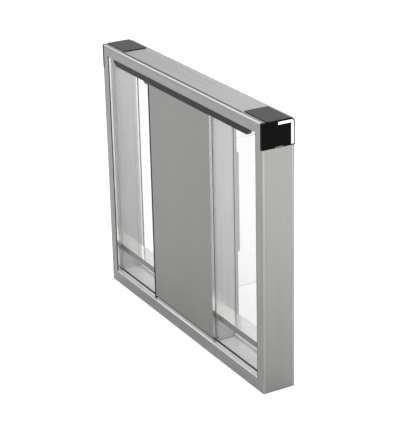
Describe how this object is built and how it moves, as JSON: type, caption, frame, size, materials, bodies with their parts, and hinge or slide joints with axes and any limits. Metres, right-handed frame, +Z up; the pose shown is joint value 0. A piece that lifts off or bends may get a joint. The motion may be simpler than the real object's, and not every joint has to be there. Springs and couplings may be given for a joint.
{
  "type": "swing barrier turnstile",
  "caption": "Slim free-standing access gate: a brushed steel cabinet with glazed bays, a service door and a motor-driven glass wing that swings both ways.",
  "frame": {"origin": "on the floor, under the middle of the cabinet's length and depth", "axes": "+Z up, +X along the cabinet, +Y across the passage, the way the closed wing stands out"},
  "size_m": [1.2, 0.432, 1.0225],
  "materials": {
    "brushed_stainless": "vertically brushed, satin",
    "machined_steel": "machined",
    "cast_aluminium": "fine cast, satin",
    "glass": "clear, polished edges",
    "rubber": "matt black",
    "gloss_black": "polished black",
    "smoked_cover": "smoked, infrared passing",
    "light_strip": "white diffuser",
    "circuit_board": "green solder mask",
    "black_housing": "black powder coat"
  },
  "bodies": {
    "cabinet": {"back_frame": "brushed_stainless", "back_glass_gasket": "rubber", "back_glass_sill": "brushed_stainless", "back_panel": "brushed_stainless", "back_panel_gasket": "rubber", "back_sensor_board": "circuit_board", "back_sensor_cover": "smoked_cover", "base_channel": "machined_steel", "controller_board": "circuit_board", "door_corner_clip": "brushed_stainless", "door_seal": "rubber", "drive_housing": "brushed_stainless", "drive_post": "machined_steel", "equipment_plate": "cast_aluminium", "front_frame": "brushed_stainless", "front_glass_gasket": "rubber", "front_glass_sill": "brushed_stainless", "front_sensor_board": "circuit_board", "front_sensor_cover": "smoked_cover", "gear_case": "cast_aluminium", "gear_case_cover": "cast_aluminium", "gearmotor": "black_housing", "left_back_pane": "glass", "left_bay_tray": "brushed_stainless", "left_crossbeam": "brushed_stainless", "left_end_cover": "brushed_stainless", "left_end_post": "brushed_stainless", "left_front_pane": "glass", "left_light_strip": "light_strip", "left_reader_board": "circuit_board", "left_reader_cap": "gloss_black", "lower_bearing": "machined_steel", "lower_pivot_bracket": "brushed_stainless", "position_sensor": "black_housing", "power_supply": "cast_aluminium", "right_back_pane": "glass", "right_bay_tray": "brushed_stainless", "right_crossbeam": "brushed_stainless", "right_end_cover": "brushed_stainless", "right_end_post": "brushed_stainless", "right_front_pane": "glass", "right_light_strip": "light_strip", "right_reader_board": "circuit_board", "right_reader_cap": "gloss_black", "top_channel": "brushed_stainless", "top_lid": "brushed_stainless", "upper_bearing": "machined_steel", "upper_bearing_bracket": "cast_aluminium", "upper_pivot_bracket": "brushed_stainless"},
    "wing": {"wing_column": "brushed_stainless", "column_shaft": "machined_steel", "column_gear": "machined_steel", "wing_glass": "glass", "clamp_pad": "rubber", "lower_clamp_bolt": "machined_steel", "upper_clamp_bolt": "machined_steel"},
    "idler": {"idler_gear": "machined_steel"},
    "pinion": {"motor_pinion": "machined_steel", "position_disc": "cast_aluminium"},
    "door": {"service_door": "brushed_stainless"}
  },
  "joints": [
    {"name": "wing_swing", "type": "hinge", "parent": "cabinet", "child": "wing", "pos_m": [0, 0.096, 0.288], "axis": [0, 0, 1], "range_deg": [-90, 90]},
    {"name": "idler_spin", "type": "hinge", "parent": "cabinet", "child": "idler", "pos_m": [0, 0.06, 0.243], "axis": [0, 0, 1], "range_deg": [-90, 90]},
    {"name": "pinion_spin", "type": "hinge", "parent": "cabinet", "child": "pinion", "pos_m": [0, 0.024, 0.243], "axis": [0, 0, 1], "range_deg": [-90, 90]},
    {"name": "door_swing", "type": "hinge", "parent": "cabinet", "child": "door", "pos_m": [-0.2255, -0.0525, 0.0655], "axis": [0, 0, -1], "range_deg": [0, 100]}
  ],
  "couplings": [
    {"joint": "idler_spin", "follows": "wing_swing", "ratio": -1},
    {"joint": "pinion_spin", "follows": "wing_swing", "ratio": 1}
  ]
}
